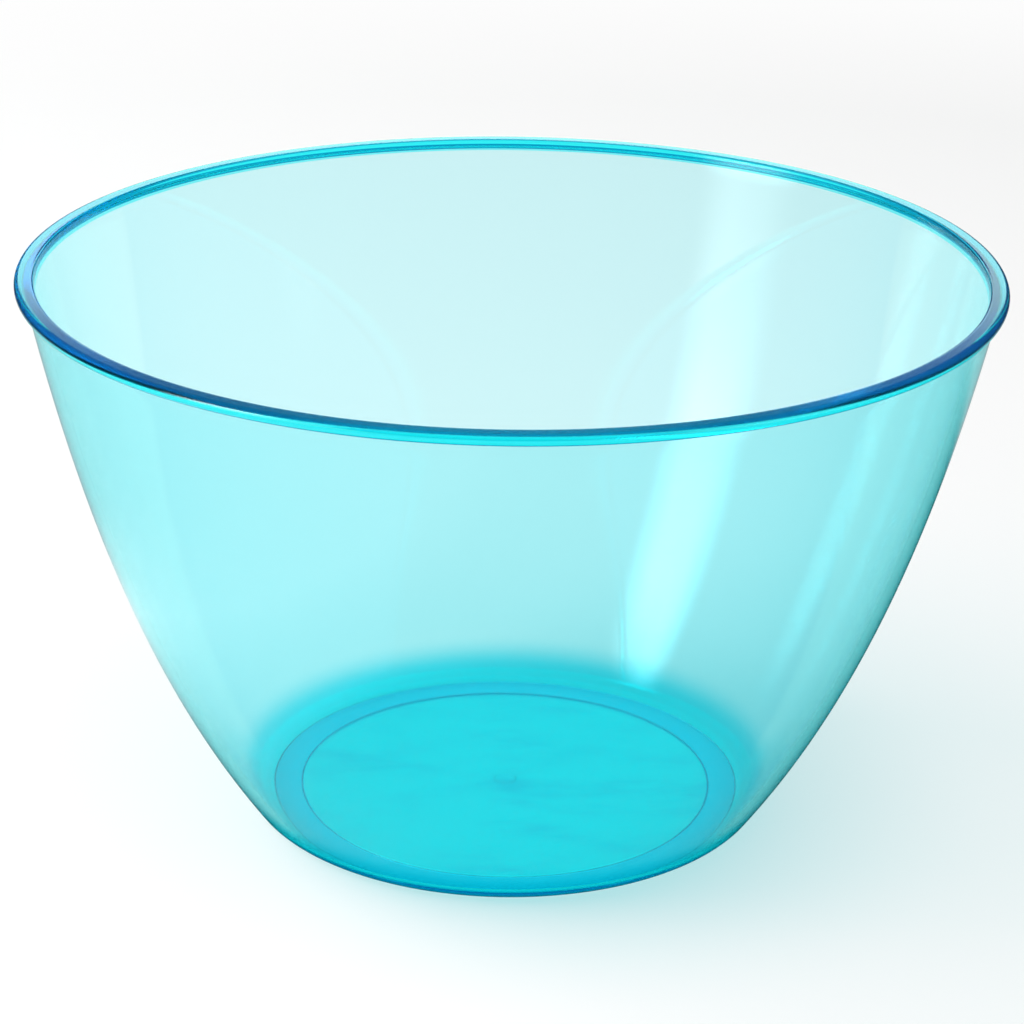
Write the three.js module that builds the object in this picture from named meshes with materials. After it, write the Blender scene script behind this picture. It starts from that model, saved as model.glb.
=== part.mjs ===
// A round serving bowl in clear tinted plastic, moulded in one piece.
// Millimetres, +Z up. The origin is the centre of the foot, on the surface that the bowl stands on.

import * as THREE from 'three';

// Overall size
const RIM_DIAMETER = 260;
const HEIGHT = 152;

// Wall: thickness square to its faces, and its lean from upright in degrees
const WALL = 3;
const LEAN_AT_RIM = 12;
const LEAN_AT_HEEL = 35.5;

// Share of the wall's length over which the lean at each end shapes its curve
const LEAN_HOLD = 1 / 3;

// Bead round the outside of the rim
const BEAD_REACH = 2.5;
const BEAD_HEIGHT = 3;
const BEAD_ROOT_RADIUS = 0.6;
const LIP_RADIUS = 0.9;

// Foot and floor
const FOOT_DIAMETER = 130;
const FOOT_STEP = 0.5;
const FOOT_EDGE_RADIUS = 0.4;
const HEEL_RADIUS = 7.8;
const FLOOR_THICKNESS = 3.2;
const FLOOR_FILLET = 4.5;

// Underside: a shallow recess inside the foot ring, with the trimmed moulding gate at its centre
const RECESS_DIAMETER = 114;
const RECESS_DEPTH = 1;
const GATE_DIAMETER = 6;
const GATE_HEIGHT = 0.2;

// Facets, and how closely the end of the floor's fillet is found along the wall
const TURN_STEPS = 80;
const WALL_STEPS = 11;
const ROUND_STEPS = 6;
const EDGE_STEPS = 3;
const FILLET_END_TOLERANCE = 1e-6;

// Places that follow from the sizes
const rimRadius = RIM_DIAMETER / 2;
const footRadius = FOOT_DIAMETER / 2;
const recessRadius = RECESS_DIAMETER / 2;
const gateRadius = GATE_DIAMETER / 2;
const floorHeight = RECESS_DEPTH + FLOOR_THICKNESS;
const beadRadius = BEAD_HEIGHT / 2;
const beadUnderside = HEIGHT - BEAD_HEIGHT;
const beadRootRadius = Math.min(BEAD_ROOT_RADIUS, BEAD_REACH - beadRadius);
const rimLean = THREE.MathUtils.degToRad(LEAN_AT_RIM);
const heelLean = THREE.MathUtils.degToRad(LEAN_AT_HEEL);
const UP = Math.PI / 2;
const DOWN = -Math.PI / 2;

const point = (radius, height) => new THREE.Vector2(radius, height);

// Centre of the heel's round, above the outer edge of the foot ring
const heelCentre = point(footRadius, FOOT_STEP + HEEL_RADIUS);

// Unit direction up a wall that leans outwards by an angle from upright
const upTheWall = (lean) => point(Math.sin(lean), Math.cos(lean));

// Unit direction out of such a wall, on its outer side
const outOfTheWall = (lean) => point(Math.cos(lean), -Math.sin(lean));

// Points along an arc from one angle to another, whichever way round that is
function arc(centre, radius, from, to, steps) {
  return new THREE.EllipseCurve(centre.x, centre.y, radius, radius, from, to, from > to).getPoints(steps);
}

// The wall's outer face: one smooth curve from the top of the heel to the root of the bead
function outerFace() {
  const start = heelCentre.clone().addScaledVector(outOfTheWall(heelLean), HEEL_RADIUS);
  const rootDrop = beadRootRadius * (1 - Math.sin(rimLean));
  const end = point(rimRadius - BEAD_REACH - rootDrop * Math.tan(rimLean), beadUnderside - rootDrop);
  const handle = start.distanceTo(end) * LEAN_HOLD;
  return new THREE.CubicBezierCurve(
    start,
    start.clone().addScaledVector(upTheWall(heelLean), handle),
    end.clone().addScaledVector(upTheWall(rimLean), -handle),
    end,
  );
}

// A point of the wall's inner face, which is the outer face set in by the thickness, and its lean
function innerFaceAt(face, t) {
  const along = face.getTangent(t);
  const lean = Math.atan2(along.x, along.y);
  return { place: face.getPoint(t).addScaledVector(outOfTheWall(lean), -WALL), lean };
}

// Where the floor's fillet leaves the inner face: there, its centre is a fillet radius above the floor
function filletEnd(face) {
  let low = 0;
  let high = 1;
  while (high - low > FILLET_END_TOLERANCE) {
    const middle = (low + high) / 2;
    const { place, lean } = innerFaceAt(face, middle);
    const centreHeight = place.y + FLOOR_FILLET * Math.sin(lean);
    if (centreHeight < floorHeight + FLOOR_FILLET) low = middle;
    else high = middle;
  }
  return (low + high) / 2;
}

// Underside, from the axis out to the outer edge of the foot ring
function underside() {
  const innerEdge = point(recessRadius + FOOT_EDGE_RADIUS, FOOT_EDGE_RADIUS);
  const outerEdge = point(footRadius - FOOT_EDGE_RADIUS, FOOT_EDGE_RADIUS);
  return [
    point(0, RECESS_DEPTH - GATE_HEIGHT),
    point(gateRadius, RECESS_DEPTH - GATE_HEIGHT),
    point(gateRadius, RECESS_DEPTH),
    point(recessRadius, RECESS_DEPTH),
    ...arc(innerEdge, FOOT_EDGE_RADIUS, -Math.PI, DOWN, EDGE_STEPS),
    ...arc(outerEdge, FOOT_EDGE_RADIUS, DOWN, 0, EDGE_STEPS),
  ];
}

// Outside, from the heel up to the root of the bead
function outside(face) {
  const heel = arc(heelCentre, HEEL_RADIUS, DOWN, -heelLean, ROUND_STEPS);
  const root = face.getPoint(1).addScaledVector(outOfTheWall(rimLean), beadRootRadius);
  return [
    ...heel,
    ...face.getPoints(WALL_STEPS).slice(1),
    ...arc(root, beadRootRadius, Math.PI - rimLean, UP, EDGE_STEPS).slice(1),
  ];
}

// Bead and lip, over the rim and down to the inner face
function rim(face) {
  const beadCentre = point(rimRadius - beadRadius, HEIGHT - beadRadius);
  const wallEnd = innerFaceAt(face, 1).place;
  const lipEndHeight = HEIGHT - LIP_RADIUS * (1 - Math.sin(rimLean));
  const stretch = (lipEndHeight - wallEnd.y) / Math.cos(rimLean);
  const lipEnd = wallEnd.addScaledVector(upTheWall(rimLean), stretch);
  const lipCentre = lipEnd.clone().addScaledVector(outOfTheWall(rimLean), LIP_RADIUS);
  return [
    ...arc(beadCentre, beadRadius, DOWN, UP, ROUND_STEPS),
    ...arc(lipCentre, LIP_RADIUS, UP, Math.PI - rimLean, EDGE_STEPS),
  ];
}

// Inside, down the inner face, round the fillet and along the floor to the axis
function inside(face) {
  const lowest = filletEnd(face);
  const wall = [];
  for (let step = 0; step <= WALL_STEPS; step += 1) {
    wall.push(innerFaceAt(face, THREE.MathUtils.lerp(1, lowest, step / WALL_STEPS)));
  }
  const { place, lean } = wall[WALL_STEPS];
  const filletCentre = place.clone().addScaledVector(outOfTheWall(lean), -FLOOR_FILLET);
  return [
    ...wall.map((spot) => spot.place),
    ...arc(filletCentre, FLOOR_FILLET, -lean, DOWN, ROUND_STEPS).slice(1),
    point(0, floorHeight),
  ];
}

// The bowl: its section, turned once about the upright axis
function bowl() {
  const face = outerFace();
  const section = [...underside(), ...outside(face), ...rim(face), ...inside(face)];
  const geometry = new THREE.LatheGeometry(section, TURN_STEPS);
  geometry.rotateX(Math.PI / 2);
  const material = new THREE.MeshStandardMaterial({
    color: 0x1fc3d6,
    roughness: 0.08,
    metalness: 0,
    transparent: true,
    opacity: 0.55,
  });
  const mesh = new THREE.Mesh(geometry, material);
  mesh.name = 'bowl';
  return mesh;
}

const servingBowl = new THREE.Group();
servingBowl.add(bowl());

export default servingBowl;
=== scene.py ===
"""Looks of a serving bowl in clear tinted plastic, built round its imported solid.

Metres, +Z up, with the centre of the bowl's foot at the origin.
"""

import logging
import math
from dataclasses import dataclass
from enum import Enum
from functools import reduce

import bpy
from mathutils import Matrix, Vector


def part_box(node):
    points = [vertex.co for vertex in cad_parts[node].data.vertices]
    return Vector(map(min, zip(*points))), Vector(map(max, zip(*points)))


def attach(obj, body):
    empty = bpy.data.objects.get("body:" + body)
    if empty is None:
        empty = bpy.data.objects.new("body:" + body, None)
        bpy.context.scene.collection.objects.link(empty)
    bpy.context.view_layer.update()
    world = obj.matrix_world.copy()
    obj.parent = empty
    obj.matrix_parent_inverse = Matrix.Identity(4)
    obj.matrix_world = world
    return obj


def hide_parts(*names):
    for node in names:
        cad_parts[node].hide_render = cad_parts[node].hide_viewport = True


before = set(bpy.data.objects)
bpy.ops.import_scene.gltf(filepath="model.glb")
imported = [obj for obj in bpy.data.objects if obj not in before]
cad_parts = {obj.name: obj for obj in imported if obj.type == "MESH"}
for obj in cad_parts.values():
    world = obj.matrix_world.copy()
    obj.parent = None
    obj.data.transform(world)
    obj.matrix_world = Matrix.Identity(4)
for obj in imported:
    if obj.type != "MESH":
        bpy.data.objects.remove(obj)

MM = 0.001
UP = math.pi / 2
DOWN = -math.pi / 2
LOG = logging.getLogger("serving_bowl")

# How often light may bounce or bend, which total reflection inside the rim needs
LIGHT_BOUNCES = 128

Colour = tuple[float, float, float, float]
Place = tuple[float, float, float]
Span = tuple[float, float]
Socket = bpy.types.NodeSocket
Feed = Socket | float | Colour | Place

WHITE: Colour = (1.0, 1.0, 1.0, 1.0)
MIDDLE: Place = (0.0, 0.0, 0.0)


class Fineness(Enum):
    """Steps in each kind of curve of the section."""

    EDGE = 8
    ROUND = 24
    WALL = 44
    FLAT = 4


class Sight(Enum):
    """Whether the bowl's polish mirrors a lamp, and whether its plastic shows the lamp through it."""

    SEEN = (True, True)
    MIRRORED = (True, False)
    UNSEEN = (False, False)


class MixKind(Enum):
    """What a mix node mixes, with the numbers of its share, its first and second input, and its output."""

    FLOAT = (0, 2, 3, 0)
    RGBA = (0, 6, 7, 2)


class Node(Enum):
    """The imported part's node and what carries and finishes it."""

    NAME = "bowl"
    BODY = "root"
    SLOT = "tinted_clear_plastic"


@dataclass(frozen=True)
class BowlSizes:
    """Sizes of the moulding, in metres and radians. The rim and the height come from the frame."""

    rim_radius: float
    height: float
    wall: float = 3.0 * MM
    lean_at_rim: float = math.radians(12.0)
    lean_at_heel: float = math.radians(35.5)
    bead_reach: float = 2.5 * MM
    bead_height: float = 3.0 * MM
    bead_root_radius: float = 0.6 * MM
    lip_radius: float = 0.9 * MM
    foot_radius: float = 65.0 * MM
    foot_step: float = 0.5 * MM
    foot_edge_radius: float = 0.4 * MM
    heel_radius: float = 7.8 * MM
    floor_thickness: float = 3.2 * MM
    floor_fillet: float = 4.5 * MM
    recess_radius: float = 57.0 * MM
    recess_depth: float = 1.0 * MM
    gate_radius: float = 3.0 * MM
    gate_height: float = 0.2 * MM
    gate_edge_radius: float = 0.1 * MM

    @classmethod
    def from_frame(cls) -> "BowlSizes":
        """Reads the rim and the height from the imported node's box.

        Returns:
            The sizes of the whole moulding.
        """
        low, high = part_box(Node.NAME.value)
        return cls(rim_radius=(high.x - low.x) / 2, height=high.z)

    @property
    def heel_centre(self) -> Vector:
        """Centre of the heel's round, above the outer edge of the foot ring."""
        return spot(self.foot_radius, self.foot_step + self.heel_radius)

    @property
    def floor_height(self) -> float:
        """Height of the floor's upper face."""
        return self.recess_depth + self.floor_thickness

    @property
    def bead_low(self) -> float:
        """Height of the bead's underside."""
        return self.height - self.bead_height

    @property
    def bead_inside(self) -> float:
        """Radius at which the bead leaves the wall."""
        return self.rim_radius - self.bead_reach


def spot(radius: float, height: float) -> Vector:
    """A point of the section, by its distance from the axis and its height."""
    return Vector((radius, height))


def up_the_wall(lean: float) -> Vector:
    """Unit direction up a wall that leans outwards by an angle from upright."""
    return Vector((math.sin(lean), math.cos(lean)))


def out_of_the_wall(lean: float) -> Vector:
    """Unit direction out of such a wall, on its outer side."""
    return Vector((math.cos(lean), -math.sin(lean)))


def between(start: float, end: float, share: float) -> float:
    """The value a share of the way from one number to another."""
    return start + (end - start) * share


def arc(centre: Vector, radius: float, start: float, end: float, steps: int) -> list[Vector]:
    """Points along an arc.

    Args:
        centre: Centre of the arc.
        radius: Radius of the arc.
        start: Angle of the first point.
        end: Angle of the last point.
        steps: Number of steps between them.

    Returns:
        The points, ends included.
    """
    angles = [between(start, end, step / steps) for step in range(steps + 1)]
    return [centre + radius * Vector((math.cos(angle), math.sin(angle))) for angle in angles]


def flat(start: Vector, end: Vector, hold: float = 0.2 * MM) -> list[Vector]:
    """Points inside a straight stretch, without its ends.

    Args:
        start: Start of the stretch.
        end: End of the stretch.
        hold: Distance from each end to the point that holds the shading flat there.

    Returns:
        The points in order.
    """
    along = (end - start).normalized() * hold
    first, last = start + along, end - along
    steps = Fineness.FLAT.value
    return [first.lerp(last, step / steps) for step in range(steps + 1)]


class WallFace:
    """The wall's outer face as one smooth curve, and its inner face set in by the thickness."""

    HANDLE_SHARE = 1 / 3
    HALVINGS = 40

    def __init__(self, sizes: BowlSizes) -> None:
        """Places the curve's ends and handles.

        Args:
            sizes: Sizes of the moulding.
        """
        self.sizes = sizes
        root_drop = sizes.bead_root_radius * (1 - math.sin(sizes.lean_at_rim))
        start = sizes.heel_centre + out_of_the_wall(sizes.lean_at_heel) * sizes.heel_radius
        end_radius = sizes.bead_inside - root_drop * math.tan(sizes.lean_at_rim)
        end = spot(end_radius, sizes.bead_low - root_drop)
        handle = (end - start).length * self.HANDLE_SHARE
        self.controls = (
            start,
            start + up_the_wall(sizes.lean_at_heel) * handle,
            end - up_the_wall(sizes.lean_at_rim) * handle,
            end,
        )

    def outer(self, share: float) -> Vector:
        """A point of the outer face.

        Args:
            share: Share of the way from the heel to the bead.

        Returns:
            The point.
        """
        a, b, c, d = self.controls
        rest = 1 - share
        return rest**3 * a + 3 * rest**2 * share * b + 3 * rest * share**2 * c + share**3 * d

    def lean(self, share: float) -> float:
        """The wall's lean from upright.

        Args:
            share: Share of the way from the heel to the bead.

        Returns:
            The angle.
        """
        a, b, c, d = self.controls
        rest = 1 - share
        along = rest**2 * (b - a) + 2 * rest * share * (c - b) + share**2 * (d - c)
        return math.atan2(along.x, along.y)

    def inner(self, share: float) -> Vector:
        """A point of the inner face, a share of the way up."""
        return self.outer(share) - out_of_the_wall(self.lean(share)) * self.sizes.wall

    def root(self) -> Vector:
        """Centre of the hollow round at the bead's root."""
        return self.outer(1.0) + out_of_the_wall(self.sizes.lean_at_rim) * self.sizes.bead_root_radius

    def fillet_end(self) -> float:
        """Where the floor's fillet leaves the inner face.

        Returns:
            The share of the way up at which the fillet's centre is a fillet radius above the floor.
        """
        radius = self.sizes.floor_fillet
        wanted = self.sizes.floor_height + radius
        low, high = 0.0, 1.0
        for _ in range(self.HALVINGS):
            middle = (low + high) / 2
            centre_height = self.inner(middle).y + radius * math.sin(self.lean(middle))
            low, high = (middle, high) if centre_height < wanted else (low, middle)
        return (low + high) / 2


class BowlSection:
    """The bowl's section, from the axis under the foot, over the rim, to the axis on the floor."""

    def __init__(self, sizes: BowlSizes) -> None:
        """Keeps the sizes and the wall's curve.

        Args:
            sizes: Sizes of the moulding.
        """
        self.sizes = sizes
        self.face = WallFace(sizes)

    def underside(self) -> list[Vector]:
        """The gate's mark, the recess and the foot ring.

        Returns:
            The points from the axis out to the outer edge of the foot ring.
        """
        s = self.sizes
        edge = Fineness.EDGE.value
        low = s.recess_depth - s.gate_height
        gate_edge = spot(s.gate_radius - s.gate_edge_radius, low + s.gate_edge_radius)
        gate_root = spot(s.gate_radius + s.gate_edge_radius, s.recess_depth - s.gate_edge_radius)
        corner = spot(s.recess_radius - s.foot_edge_radius, s.recess_depth - s.foot_edge_radius)
        inner_edge = spot(s.recess_radius + s.foot_edge_radius, s.foot_edge_radius)
        outer_edge = spot(s.foot_radius - s.foot_edge_radius, s.foot_edge_radius)
        return [
            spot(0.0, low),
            *flat(spot(0.0, low), spot(gate_edge.x, low)),
            *arc(gate_edge, s.gate_edge_radius, DOWN, 0.0, edge),
            *arc(gate_root, s.gate_edge_radius, math.pi, UP, edge),
            *flat(spot(gate_root.x, s.recess_depth), spot(corner.x, s.recess_depth)),
            *arc(corner, s.foot_edge_radius, UP, 0.0, edge),
            *arc(inner_edge, s.foot_edge_radius, -math.pi, DOWN, edge),
            *flat(spot(inner_edge.x, 0.0), spot(outer_edge.x, 0.0)),
            *arc(outer_edge, s.foot_edge_radius, DOWN, 0.0, edge),
        ]

    def outside(self) -> list[Vector]:
        """The heel and the wall's outer face.

        Returns:
            The points from the foot's step up to the bead's root.
        """
        s = self.sizes
        steps = Fineness.WALL.value
        return [
            *arc(s.heel_centre, s.heel_radius, DOWN, -s.lean_at_heel, Fineness.ROUND.value),
            *[self.face.outer(step / steps) for step in range(1, steps)],
            *arc(self.face.root(), s.bead_root_radius, math.pi - s.lean_at_rim, UP, Fineness.EDGE.value),
        ]

    def lip_centre(self) -> Vector:
        """Centre of the round between the rim's flat top and the inner face.

        Returns:
            The point a lip radius inside both.
        """
        s = self.sizes
        wall_end = self.face.inner(1.0)
        lip_end_height = s.height - s.lip_radius * (1 - math.sin(s.lean_at_rim))
        stretch = (lip_end_height - wall_end.y) / math.cos(s.lean_at_rim)
        lip_end = wall_end + up_the_wall(s.lean_at_rim) * stretch
        return lip_end + out_of_the_wall(s.lean_at_rim) * s.lip_radius

    def rim(self) -> list[Vector]:
        """The bead and the lip.

        Returns:
            The points from the bead's root, over the rim and down to the inner face.
        """
        s = self.sizes
        radius = s.bead_height / 2
        bead = spot(s.rim_radius - radius, s.height - radius)
        lip = self.lip_centre()
        return [
            *flat(spot(self.face.root().x, s.bead_low), spot(bead.x, s.bead_low)),
            *arc(bead, radius, DOWN, UP, Fineness.ROUND.value),
            *flat(spot(bead.x, s.height), spot(lip.x, s.height)),
            *arc(lip, s.lip_radius, UP, math.pi - s.lean_at_rim, Fineness.EDGE.value),
        ]

    def inside(self) -> list[Vector]:
        """The wall's inner face, the fillet and the floor.

        Returns:
            The points from the lip down to the axis.
        """
        s = self.sizes
        steps = Fineness.WALL.value
        lowest = self.face.fillet_end()
        lean = self.face.lean(lowest)
        centre = self.face.inner(lowest) - out_of_the_wall(lean) * s.floor_fillet
        fillet = arc(centre, s.floor_fillet, -lean, DOWN, Fineness.ROUND.value)
        middle = spot(0.0, s.floor_height)
        return [
            *[self.face.inner(between(1.0, lowest, step / steps)) for step in range(steps)],
            *fillet,
            *flat(fillet[-1], middle),
            middle,
        ]

    def points(self) -> list[Vector]:
        """The whole section, in order."""
        return [*self.underside(), *self.outside(), *self.rim(), *self.inside()]


class NodeBoard:
    """Adds nodes to a tree and links them, by socket name or number."""

    def __init__(self, tree: bpy.types.NodeTree) -> None:
        """Keeps the tree.

        Args:
            tree: The tree that the nodes go into.
        """
        self.tree = tree

    @classmethod
    def blank(cls, owner: bpy.types.ID) -> "NodeBoard":
        """Empties the tree of a material, a lamp or a world.

        Args:
            owner: What the tree belongs to.

        Returns:
            A board for the empty tree.
        """
        owner.use_nodes = True
        owner.node_tree.nodes.clear()
        return cls(owner.node_tree)

    def add(
        self,
        kind: str,
        settings: dict[str, object] | None = None,
        inputs: dict[str | int, Feed] | None = None,
    ) -> bpy.types.Node:
        """Adds a node.

        Args:
            kind: Blender's name for the kind of node.
            settings: Properties to set on the node.
            inputs: Input sockets, by name or number, with a value or the socket that feeds each.

        Returns:
            The new node.
        """
        node = self.tree.nodes.new(kind)
        for name, value in (settings or {}).items():
            setattr(node, name, value)
        for key, value in (inputs or {}).items():
            socket = node.inputs[key]
            if isinstance(value, Socket):
                self.tree.links.new(value, socket)
            else:
                socket.default_value = value
        return node

    def math(self, operation: str, first: Feed, second: Feed = 0.0) -> Socket:
        """Adds a sum.

        Args:
            operation: Blender's name for the sum.
            first: Number or socket.
            second: Number or socket.

        Returns:
            The socket with the result.
        """
        return self.add("ShaderNodeMath", {"operation": operation}, {0: first, 1: second}).outputs[0]

    def most(self, *levels: Feed) -> Socket:
        """The highest of several levels."""
        return reduce(lambda first, second: self.math("MAXIMUM", first, second), levels)

    def mix(self, kind: MixKind, share: Feed, first: Feed, second: Feed) -> Socket:
        """Adds a mix of two colours or numbers.

        Args:
            kind: What is mixed.
            share: Share of the second value.
            first: First value or socket.
            second: Second value or socket.

        Returns:
            The socket with the mixed value.
        """
        share_in, first_in, second_in, output = kind.value
        inputs = {share_in: share, first_in: first, second_in: second}
        return self.add("ShaderNodeMix", {"data_type": kind.name}, inputs).outputs[output]

    def fade(self, value: Feed, reach: Span, levels: Span = (0.0, 1.0)) -> Socket:
        """Adds a smooth fade from one level to another.

        Args:
            value: What the fade follows.
            reach: Values at which it starts and ends.
            levels: Levels at its start and end.

        Returns:
            The socket with the level.
        """
        inputs = {
            "Value": value,
            "From Min": reach[0],
            "From Max": reach[1],
            "To Min": levels[0],
            "To Max": levels[1],
        }
        return self.add("ShaderNodeMapRange", {"interpolation_type": "SMOOTHSTEP"}, inputs).outputs[0]


class TurningTree:
    """Geometry Nodes that turn a line of section points about the upright axis into one closed skin."""

    MERGE_DISTANCE = 1e-6
    HALF_INDEX = 0.5

    def __init__(self) -> None:
        """Builds the tree, with named inputs for the section, the number of steps and the finish."""
        self.tree = bpy.data.node_groups.new("turned_section", "GeometryNodeTree")
        face = self.tree.interface
        face.new_socket("Section", in_out="INPUT", socket_type="NodeSocketGeometry")
        self.steps = face.new_socket("Turn steps", in_out="INPUT", socket_type="NodeSocketInt")
        self.finish = face.new_socket("Finish", in_out="INPUT", socket_type="NodeSocketMaterial")
        face.new_socket("Skin", in_out="OUTPUT", socket_type="NodeSocketGeometry")
        self._wire()

    def _wire(self) -> None:
        """Adds the nodes: a grid, its points moved on to the turned section, closed, smoothed and dressed."""
        board = NodeBoard(self.tree)
        given = board.add("NodeGroupInput").outputs
        size = board.add("GeometryNodeAttributeDomainSize", {"component": "MESH"}, {0: given["Section"]})
        columns = board.math("ADD", given["Turn steps"], 1)
        grid = board.add(
            "GeometryNodeMeshGrid",
            inputs={"Vertices X": size.outputs["Point Count"], "Vertices Y": columns},
        )
        skin = board.add(
            "GeometryNodeSetPosition",
            inputs={"Geometry": grid.outputs["Mesh"], "Position": self._turned(board, given, columns)},
        )
        closed = board.add(
            "GeometryNodeMergeByDistance",
            inputs={"Geometry": skin.outputs[0], "Distance": self.MERGE_DISTANCE},
        )
        outwards = board.add("GeometryNodeFlipFaces", inputs={"Mesh": closed.outputs[0]})
        smooth = board.add("GeometryNodeSetShadeSmooth", inputs={"Geometry": outwards.outputs[0]})
        real = board.add("GeometryNodeRealizeInstances", inputs={"Geometry": smooth.outputs[0]})
        dressed = board.add(
            "GeometryNodeSetMaterial",
            inputs={"Geometry": real.outputs[0], "Material": given["Finish"]},
        )
        board.add("NodeGroupOutput", inputs={0: dressed.outputs[0]})

    def _turned(self, board: NodeBoard, given: bpy.types.bpy_prop_collection, columns: Socket) -> Socket:
        """Finds the place of each grid point: its row picks a section point and its column an angle.

        Args:
            board: The tree's nodes.
            given: The tree's inputs.
            columns: Number of points in a row of the grid.

        Returns:
            The socket with the place.
        """
        index = board.add("GeometryNodeInputIndex").outputs[0]
        rows_past = board.math("DIVIDE", board.math("ADD", index, self.HALF_INDEX), columns)
        row = board.math("FLOOR", rows_past)
        column = board.math("SUBTRACT", index, board.math("MULTIPLY", row, columns))
        turn = board.math("DIVIDE", board.math("MULTIPLY", column, math.tau), given["Turn steps"])
        place = board.add("GeometryNodeInputPosition").outputs[0]
        section = board.add(
            "GeometryNodeSampleIndex",
            {"data_type": "FLOAT_VECTOR", "domain": "POINT"},
            {"Geometry": given["Section"], "Value": place, "Index": row},
        )
        parts = board.add("ShaderNodeSeparateXYZ", inputs={0: section.outputs[0]}).outputs
        turned = board.add(
            "ShaderNodeCombineXYZ",
            inputs={
                "X": board.math("MULTIPLY", parts["X"], board.math("COSINE", turn)),
                "Y": board.math("MULTIPLY", parts["X"], board.math("SINE", turn)),
                "Z": parts["Z"],
            },
        )
        return turned.outputs[0]

    def turn(
        self, name: str, section: list[Vector], steps: int, finish: bpy.types.Material
    ) -> bpy.types.Object:
        """Turns a section into a plain mesh object.

        Args:
            name: Name of the object.
            section: Points of the section, as radius and height.
            steps: Number of steps in the turn.
            finish: Material of the skin.

        Returns:
            The object, at the origin, with no modifier left on it.
        """
        line = bpy.data.meshes.new(f"{name}_section")
        points = [(point.x, 0.0, point.y) for point in section]
        line.from_pydata(points, [(i, i + 1) for i in range(len(points) - 1)], [])
        piece = bpy.data.objects.new(name, line)
        bpy.context.scene.collection.objects.link(piece)
        modifier = piece.modifiers.new("Turned section", "NODES")
        modifier.node_group = self.tree
        modifier[self.steps.identifier] = steps
        modifier[self.finish.identifier] = finish
        graph = bpy.context.evaluated_depsgraph_get()
        skin = bpy.data.meshes.new_from_object(piece.evaluated_get(graph))
        piece.modifiers.clear()
        piece.data = skin
        skin.name = name
        bpy.data.meshes.remove(line)
        return piece


class BowlZones:
    """Zones of the bowl by height and radius, as sockets that are 1 inside a zone and 0 outside it."""

    LEVEL_SLACK = 0.05 * MM

    def __init__(self, board: NodeBoard, sizes: BowlSizes) -> None:
        """Reads the place on the bowl, its height and its distance from the axis.

        Args:
            board: The material's nodes.
            sizes: Sizes of the moulding.
        """
        self.board = board
        self.sizes = sizes
        self.place = board.add("ShaderNodeTexCoord").outputs["Object"]
        parts = board.add("ShaderNodeSeparateXYZ", inputs={0: self.place}).outputs
        level = board.add("ShaderNodeCombineXYZ", inputs={"X": parts["X"], "Y": parts["Y"]})
        length = board.add("ShaderNodeVectorMath", {"operation": "LENGTH"}, {0: level.outputs[0]})
        self.radius = length.outputs["Value"]
        self.height = parts["Z"]

    def below(self, height: float) -> Socket:
        """What lies below a height."""
        return self.board.math("LESS_THAN", self.height, height)

    def above(self, height: float) -> Socket:
        """What lies above a height."""
        return self.board.math("GREATER_THAN", self.height, height)

    def beyond(self, radius: float) -> Socket:
        """What lies farther from the axis than a radius."""
        return self.board.math("GREATER_THAN", self.radius, radius)

    def floor(self) -> Socket:
        """The floor's upper face and all below it."""
        return self.below(self.sizes.floor_height + self.LEVEL_SLACK)

    def underside(self) -> Socket:
        """The recess and the foot ring, inside the foot's outer edge.

        Returns:
            The socket for the zone.
        """
        low = self.below(self.sizes.recess_depth + self.LEVEL_SLACK)
        near = self.board.math("LESS_THAN", self.radius, self.sizes.foot_radius)
        return self.board.math("MULTIPLY", low, near)

    def foot_ring(self, depth: float) -> Socket:
        """The foot ring, up to a height above the surface that the bowl stands on."""
        return self.board.math("MULTIPLY", self.below(depth), self.beyond(self.sizes.recess_radius))


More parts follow.
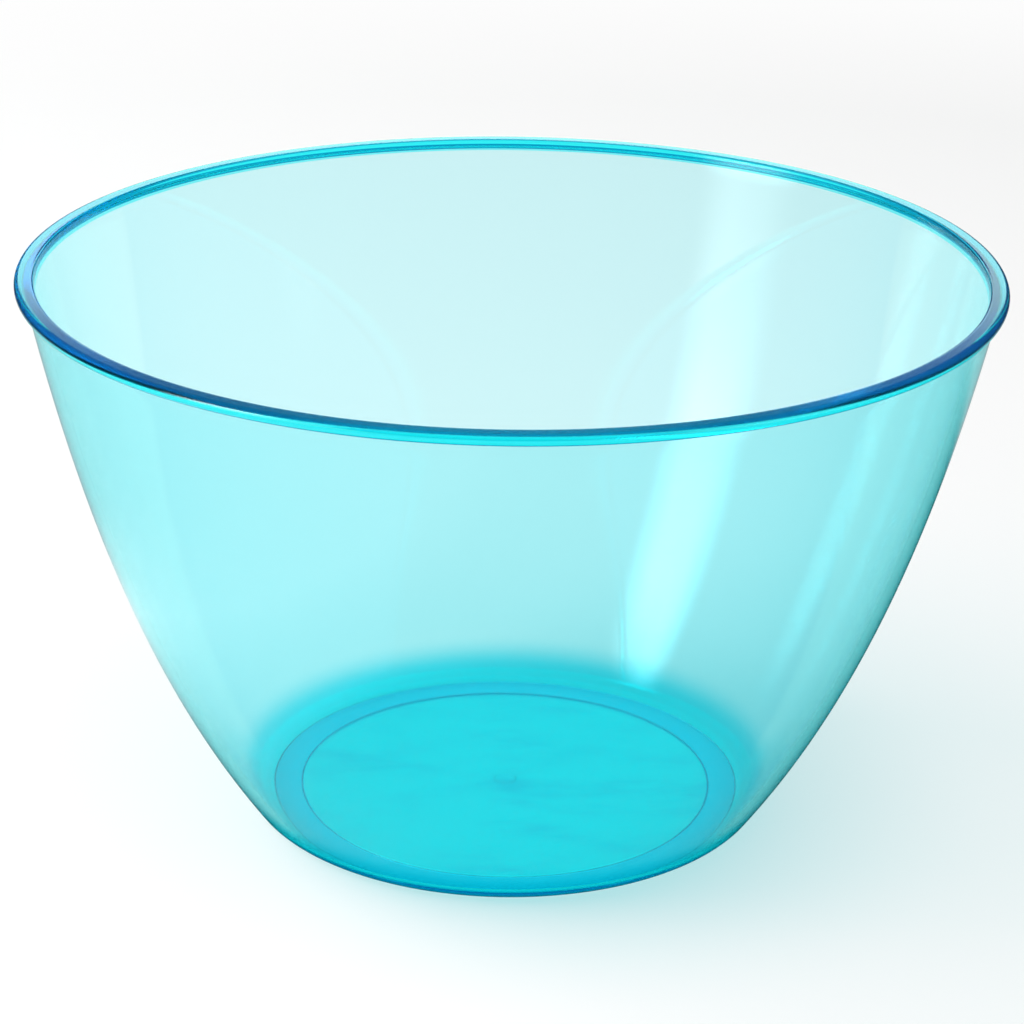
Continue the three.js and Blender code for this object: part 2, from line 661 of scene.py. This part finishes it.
@dataclass(frozen=True)
class TintedPlastic:
    """Clear plastic, tinted all through: pale where it is thin and deep blue along its thickness."""

    sizes: BowlSizes
    name: str = "tinted_clear_plastic"
    refraction: float = 1.49
    tint: Colour = (0.007, 0.976, 0.99, 1.0)
    density: float = 133.0
    lamp_pass: Colour = (1.0, 0.945, 0.955, 1.0)
    polish: float = 0.025
    rim_polish: float = 0.09
    underside_polish: float = 0.3
    wall: Colour = (1.0, 0.985, 1.0, 1.0)
    # Painted shade: the heel is tinted deeper towards the bottom, partly for thicker plastic and partly as
    # contact shade
    heel: Colour = (0.05, 0.8, 0.9, 1.0)
    painted_heel_shade_reach: Span = (5.0 * MM, 13.0 * MM)
    base: Colour = (0.01, 0.94, 1.0, 1.0)
    # Painted contact shade: the foot ring, where it stands on the floor, is tinted darker
    foot: Colour = (0.002, 0.62, 0.95, 1.0)
    painted_foot_shade_depth: float = 0.5 * MM
    bead: Colour = (0.06, 1.0, 1.0, 1.0)
    # Painted shade: the bead's underside, under the rim's overhang, is tinted a deep navy
    painted_shade_under_bead: Colour = (0.01, 0.26, 0.5, 1.0)
    painted_shade_under_bead_height: float = 0.45 * MM
    lip: Colour = (0.08, 0.92, 1.0, 1.0)
    smudge: Colour = (0.008, 0.56, 0.78, 1.0)
    smudge_scale: float = 42.0
    smudge_stretch: Place = (0.55, 1.5, 1.0)
    smudge_detail: float = 9.0
    smudge_roughness: float = 0.68
    smudge_range: Span = (0.42, 0.78)
    gate_smudge_radius: float = 11.0 * MM
    gate_smudge: float = 0.14

    def material(self) -> bpy.types.Material:
        """Builds the material.

        Returns:
            A material that bends light at its faces, absorbs it inside and lets lamp light straight through.
        """
        material = bpy.data.materials.new(self.name)
        board = NodeBoard.blank(material)
        zones = BowlZones(board, self.sizes)
        surface = board.add(
            "ShaderNodeBsdfPrincipled",
            inputs={
                "Base Color": self._colour(board, zones),
                "Roughness": self._roughness(board, zones),
                "IOR": self.refraction,
                "Transmission Weight": 1.0,
            },
        )
        path = board.add("ShaderNodeLightPath").outputs
        through = board.add("ShaderNodeBsdfTransparent", inputs={"Color": self.lamp_pass})
        skin = board.add(
            "ShaderNodeMixShader",
            inputs={0: path["Is Shadow Ray"], 1: surface.outputs[0], 2: through.outputs[0]},
        )
        inside = board.add("ShaderNodeVolumeAbsorption", inputs={"Color": self.tint, "Density": self.density})
        board.add(
            "ShaderNodeOutputMaterial",
            inputs={"Surface": skin.outputs[0], "Volume": inside.outputs[0]},
        )
        return material

    def _colour(self, board: NodeBoard, zones: BowlZones) -> Socket:
        """Tints the faces from the heel to the rim, each zone over the one before.
        The heel's deeper tint is partly painted shade; the foot ring's and the bead underside's are painted
        shade.

        Args:
            board: The material's nodes.
            zones: Zones of the bowl.

        Returns:
            The socket with the colour.
        """
        s = self.sizes
        rgba = MixKind.RGBA
        # The heel's deeper tint low down is partly painted contact shade
        sides = board.mix(rgba, board.fade(zones.height, self.painted_heel_shade_reach), self.heel, self.wall)
        worn = board.mix(rgba, self._smudges(board, zones), self.base, self.smudge)
        with_floor = board.mix(rgba, zones.floor(), sides, worn)
        # The foot ring's darker tint is painted contact shade
        with_painted_foot_shade = board.mix(rgba, zones.foot_ring(self.painted_foot_shade_depth), with_floor, self.foot)
        with_lip = board.mix(rgba, zones.above(s.bead_low), with_painted_foot_shade, self.lip)
        # The bead's underside is darkened as painted shade
        painted_shade_under_bead = zones.below(s.bead_low + self.painted_shade_under_bead_height)
        bead = board.mix(rgba, painted_shade_under_bead, self.bead, self.painted_shade_under_bead)
        return board.mix(rgba, zones.beyond(s.bead_inside), with_lip, bead)

    def _roughness(self, board: NodeBoard, zones: BowlZones) -> Socket:
        """Makes the underside satin and the rim a little less polished than the walls.

        Args:
            board: The material's nodes.
            zones: Zones of the bowl.

        Returns:
            The socket with the roughness.
        """
        rim = zones.above(self.sizes.bead_low - self.sizes.bead_root_radius)
        sides = board.mix(MixKind.FLOAT, rim, self.polish, self.rim_polish)
        return board.mix(MixKind.FLOAT, zones.underside(), sides, self.underside_polish)

    def _smudges(self, board: NodeBoard, zones: BowlZones) -> Socket:
        """Marks the faint streaks that wear leaves under the floor, closest together round the gate.

        Args:
            board: The material's nodes.
            zones: Zones of the bowl.

        Returns:
            A socket that is 0 where the underside is clean and rises to 1 where it is most worn.
        """
        drawn_out = board.add(
            "ShaderNodeVectorMath", {"operation": "MULTIPLY"}, {0: zones.place, 1: self.smudge_stretch}
        )
        noise = board.add(
            "ShaderNodeTexNoise",
            inputs={
                "Vector": drawn_out.outputs[0],
                "Scale": self.smudge_scale,
                "Detail": self.smudge_detail,
                "Roughness": self.smudge_roughness,
            },
        )
        gate = board.fade(zones.radius, (0.0, self.gate_smudge_radius), (self.gate_smudge, 0.0))
        streaks = board.fade(board.math("ADD", noise.outputs[0], gate), self.smudge_range)
        return board.math("MULTIPLY", streaks, zones.underside())


@dataclass(frozen=True)
class PaleFloor:
    """A plain white floor that keeps the bowl's shadow, with a share of it always seen as white.

    Under the bowl that share is larger, a painted glow where the bowl's shade falls, close round it smaller,
    a painted contact shade, and far away nearly all. Mirror rays find the floor dark on the shaded side and
    far away, and dimmer elsewhere, as painted shade in the bowl's reflections.
    """

    name: str = "pale_floor"
    colour: Colour = (0.9, 0.9, 0.9, 1.0)
    white_share: float = 0.5
    # Painted light: under the bowl, where its shade falls, a larger share of the floor is seen as white
    painted_glow_under_share: float = 0.92
    painted_glow_under_reach: Span = (0.058, 0.072)
    # Painted contact shade: round the foot a smaller share is seen as white, so the floor there looks darker
    painted_touch_shade_share: float = 0.27
    painted_touch_shade_reach: Span = (0.07, 0.14)
    open_share: float = 0.95
    open_reach: Span = (0.4, 1.1)
    # Painted shade in the bowl's reflections: mirror rays find the floor dark by these shares, most on the
    # shaded side
    shade_loss: float = 1.0
    shade_centre: Place = (0.2, -0.06, 0.0)
    shade_reach: Span = (0.26, 0.4)
    around_painted_dark: float = 0.62
    around_reach: Span = (0.12, 0.26)
    far_painted_dark: float = 1.0
    far_reach: Span = (0.5, 0.8)

    def material(self) -> bpy.types.Material:
        """Builds the material.

        Returns:
            A material that lights its surroundings as a plain matt floor.
        """
        material = bpy.data.materials.new(self.name)
        board = NodeBoard.blank(material)
        path = board.add("ShaderNodeLightPath").outputs
        seen = board.most(path["Is Camera Ray"], path["Is Transmission Ray"])
        mirrored = board.most(board.math("SUBTRACT", path["Is Glossy Ray"], seen), 0.0)
        place = board.add("ShaderNodeTexCoord").outputs["Object"]
        white = board.math("MULTIPLY", seen, self._white(board, place))
        dark = board.math("MULTIPLY", mirrored, self._dark(board, place))
        matt = board.add("ShaderNodeBsdfDiffuse", inputs={"Color": self.colour})
        glow = board.add("ShaderNodeEmission", inputs={"Color": WHITE, "Strength": seen})
        surface = board.add(
            "ShaderNodeMixShader",
            inputs={0: board.math("ADD", white, dark), 1: matt.outputs[0], 2: glow.outputs[0]},
        )
        board.add("ShaderNodeOutputMaterial", inputs={"Surface": surface.outputs[0]})
        return material

    def _white(self, board: NodeBoard, place: Socket) -> Socket:
        """Finds the share that is always seen as white, with a painted glow under the bowl and a painted
        contact shade round the foot.

        Args:
            board: The material's nodes.
            place: The place on the floor.

        Returns:
            The socket with the share.
        """
        painted_glow_under = self._fade(board, place, MIDDLE, self.painted_glow_under_reach, (self.painted_glow_under_share, 0.0))
        painted_touch_shade = self._fade(board, place, MIDDLE, self.painted_touch_shade_reach, (self.painted_touch_shade_share, self.white_share))
        clear = self._fade(board, place, MIDDLE, self.open_reach, (0.0, self.open_share))
        return board.most(painted_glow_under, painted_touch_shade, clear)

    def _dark(self, board: NodeBoard, place: Socket) -> Socket:
        """Finds the share that mirror rays find dark, a painted shade in the bowl's reflections.

        Args:
            board: The material's nodes.
            place: The place on the floor.

        Returns:
            The socket with the share.
        """
        shade = self._fade(board, place, self.shade_centre, self.shade_reach, (self.shade_loss, 0.0))
        around = self._fade(board, place, MIDDLE, self.around_reach, (0.0, self.around_painted_dark))
        far = self._fade(board, place, MIDDLE, self.far_reach, (0.0, self.far_painted_dark))
        return board.most(shade, around, far)

    def _fade(self, board: NodeBoard, place: Socket, centre: Place, reach: Span, levels: Span) -> Socket:
        """Fades from one level to another with the distance from a point of the floor.

        Args:
            board: The material's nodes.
            place: The place on the floor.
            centre: The point that the distance is measured from.
            reach: Distances at which the fade starts and ends.
            levels: Levels at its start and end.

        Returns:
            The socket with the level.
        """
        away = board.add("ShaderNodeVectorMath", {"operation": "DISTANCE"}, {0: place, 1: centre})
        return board.fade(away.outputs["Value"], reach, levels)


@dataclass
class Bowl:
    """The bowl: one moulding, turned from its section."""

    sizes: BowlSizes
    finish: TintedPlastic
    turn_steps: int = 360

    def build(self) -> bpy.types.Object:
        """Makes the skin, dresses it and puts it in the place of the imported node.

        Returns:
            The finished piece.
        """
        section = BowlSection(self.sizes).points()
        piece = TurningTree().turn("serving_bowl", section, self.turn_steps, self.finish.material())
        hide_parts(Node.NAME.value)
        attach(piece, Node.BODY.value)
        return piece


@dataclass(frozen=True)
class SoftLamp:
    """A soft box that looks at the bowl. Azimuth 0 is on the camera's side, and 90 is on the right.

    Angles are in degrees. The feather is the share of the width over which the edges fade, and the low
    share is how bright the lamp's lower edge is beside its upper one.
    """

    name: str
    azimuth: float
    elevation: float
    distance: float
    width: float
    height: float
    radiance: float
    sight: Sight
    feather: float = 0.15
    colour: Colour = WHITE
    low_share: float = 1.0
    power_for_radiance: float = 4.0

    def build(self, target: Vector) -> bpy.types.Object:
        """Places the lamp.

        Args:
            target: The point that the lamp looks at.

        Returns:
            The lamp.
        """
        azimuth, elevation = math.radians(self.azimuth), math.radians(self.elevation)
        towards = Vector((
            math.sin(azimuth) * math.cos(elevation),
            -math.cos(azimuth) * math.cos(elevation),
            math.sin(elevation),
        ))
        light = bpy.data.lights.new(self.name, "AREA")
        light.shape = "RECTANGLE"
        light.size = self.width
        light.size_y = self.height
        light.energy = self.radiance * self.power_for_radiance * self.width * self.height
        self._feather_edges(light)
        lamp = bpy.data.objects.new(self.name, light)
        lamp.location = target + towards * self.distance
        lamp.rotation_mode = "QUATERNION"
        lamp.rotation_quaternion = towards.to_track_quat("Z", "Y")
        lamp.visible_camera = False
        lamp.visible_glossy, lamp.visible_transmission = self.sight.value
        bpy.context.scene.collection.objects.link(lamp)
        return lamp

    def _feather_edges(self, light: bpy.types.Light) -> None:
        """Fades the lamp towards its edges, as cloth over a box does, and downwards by its low share.

        Args:
            light: The lamp's data.
        """
        board = NodeBoard.blank(light)
        place = board.add("ShaderNodeNewGeometry").outputs["Parametric"]
        parts = board.add("ShaderNodeSeparateXYZ", inputs={0: place}).outputs
        rise = board.add(
            "ShaderNodeMapRange", inputs={"Value": parts["Y"], "To Min": self.low_share, "To Max": 1.0}
        )
        level = rise.outputs[0]
        for part in (parts["X"], parts["Y"]):
            inwards = board.math("MINIMUM", part, board.math("SUBTRACT", 1.0, part))
            level = board.math("MULTIPLY", board.fade(inwards, (0.0, self.feather)), level)
        glow = board.add("ShaderNodeEmission", inputs={"Color": self.colour, "Strength": level})
        board.add("ShaderNodeOutputLight", inputs={"Surface": glow.outputs[0]})


@dataclass
class Studio:
    """Floor, soft lamps and the light of the room."""

    floor_finish: PaleFloor
    lamps: tuple[SoftLamp, ...]
    floor_reach: float = 4.0
    floor_gap: float = 0.15 * MM
    room_light: float = 0.05
    room_through: Colour = (0.06, 0.55, 0.72, 1.0)

    def build(self, bowl_height: float) -> bpy.types.Object:
        """Makes the floor, the lamps and the room's light.

        Args:
            bowl_height: Height of the bowl, for where the lamps look.

        Returns:
            The floor.
        """
        for lamp in self.lamps:
            lamp.build(Vector((0.0, 0.0, bowl_height / 2)))
        self._room()
        return self._floor()

    def _floor(self) -> bpy.types.Object:
        """Makes the flat floor under the bowl, a hair below its foot.

        Returns:
            The floor.
        """
        reach, level = self.floor_reach, -self.floor_gap
        sides = [(-reach, -reach), (reach, -reach), (reach, reach), (-reach, reach)]
        mesh = bpy.data.meshes.new("floor")
        mesh.from_pydata([(x, y, level) for x, y in sides], [], [(0, 1, 2, 3)])
        mesh.materials.append(self.floor_finish.material())
        floor = bpy.data.objects.new("floor", mesh)
        bpy.context.scene.collection.objects.link(floor)
        return floor

    def _room(self) -> None:
        """Lights the room an even grey, cool blue through the plastic, and white to the camera."""
        world = bpy.data.worlds.new("room")
        board = NodeBoard.blank(world)
        path = board.add("ShaderNodeLightPath").outputs
        grey = board.add("ShaderNodeBackground", inputs={"Color": WHITE, "Strength": self.room_light})
        cool = board.add("ShaderNodeBackground", inputs={"Color": self.room_through, "Strength": 1.0})
        white = board.add("ShaderNodeBackground", inputs={"Color": WHITE, "Strength": 1.0})
        unseen = board.add(
            "ShaderNodeMixShader",
            inputs={0: path["Is Transmission Ray"], 1: grey.outputs[0], 2: cool.outputs[0]},
        )
        light = board.add(
            "ShaderNodeMixShader",
            inputs={0: path["Is Camera Ray"], 1: unseen.outputs[0], 2: white.outputs[0]},
        )
        board.add("ShaderNodeOutputWorld", inputs={"Surface": light.outputs[0]})
        bpy.context.scene.world = world


@dataclass(frozen=True)
class PhotoCamera:
    """The photograph's camera: a long lens, a little above the bowl, with a slight roll.

    The distance and the height are in metres, the angles in radians, and the lens and the sensor in mm.
    """

    distance: float = 0.8539
    height: float = 0.4184
    pitch: float = 0.375
    yaw: float = 0.001
    roll: float = 0.0143
    lens: float = 119.2
    sensor: float = 36.0

    def build(self) -> bpy.types.Object:
        """Places the camera and makes it the scene's.

        Returns:
            The camera.
        """
        ahead = Vector((
            math.sin(self.yaw) * math.cos(self.pitch),
            math.cos(self.yaw) * math.cos(self.pitch),
            -math.sin(self.pitch),
        ))
        level = Vector((math.cos(self.yaw), -math.sin(self.yaw), 0.0))
        above = level.cross(ahead)
        right = math.cos(self.roll) * level + math.sin(self.roll) * above
        top = math.cos(self.roll) * above - math.sin(self.roll) * level
        turn = Matrix((right, top, -ahead)).transposed().to_4x4()
        data = bpy.data.cameras.new("photo_camera")
        data.lens = self.lens
        data.sensor_width = self.sensor
        data.sensor_fit = "HORIZONTAL"
        camera = bpy.data.objects.new("photo_camera", data)
        camera.matrix_world = Matrix.Translation((0.0, -self.distance, self.height)) @ turn
        bpy.context.scene.collection.objects.link(camera)
        bpy.context.scene.camera = camera
        return camera


LAMPS = (
    SoftLamp(
        "left_soft_box",
        azimuth=-66.0,
        elevation=22.0,
        distance=1.2,
        width=0.7,
        height=0.8,
        radiance=12.5,
        sight=Sight.SEEN,
        feather=0.4,
        low_share=0.06,
    ),
    SoftLamp(
        "left_key",
        azimuth=-97.0,
        elevation=38.0,
        distance=2.4,
        width=2.4,
        height=1.8,
        radiance=4.5,
        sight=Sight.UNSEEN,
    ),
    SoftLamp(
        "front_top_panel",
        azimuth=5.0,
        elevation=72.0,
        distance=3.0,
        width=3.2,
        height=2.6,
        radiance=2.3,
        sight=Sight.UNSEEN,
    ),
    SoftLamp(
        "backdrop",
        azimuth=180.0,
        elevation=16.6,
        distance=3.1,
        width=2.4,
        height=0.4,
        radiance=1.7,
        sight=Sight.MIRRORED,
        feather=0.1,
        colour=(0.66, 1.0, 0.88, 1.0),
    ),
)


def set_light_paths() -> None:
    """Lets light pass through the clear walls as often as it needs."""
    cycles = bpy.context.scene.cycles
    cycles.max_bounces = LIGHT_BOUNCES
    cycles.transmission_bounces = LIGHT_BOUNCES
    cycles.glossy_bounces = LIGHT_BOUNCES
    cycles.caustics_refractive = False


def main() -> None:
    """Builds the camera, the bowl and the studio, in that order."""
    logging.basicConfig(level=logging.INFO, format="%(name)s: %(message)s")
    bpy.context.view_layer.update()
    sizes = BowlSizes.from_frame()
    bpy.context.scene.view_settings.view_transform = "Standard"
    camera = PhotoCamera().build()
    LOG.info("camera %s with a lens of %.1f mm", camera.name, camera.data.lens)
    piece = Bowl(sizes, TintedPlastic(sizes)).build()
    LOG.info("piece %s: %d points, %d faces", piece.name, len(piece.data.vertices), len(piece.data.polygons))
    floor = Studio(PaleFloor(), LAMPS).build(sizes.height)
    LOG.info("stage %s", floor.name)
    set_light_paths()


if __name__ == "__main__":
    main()
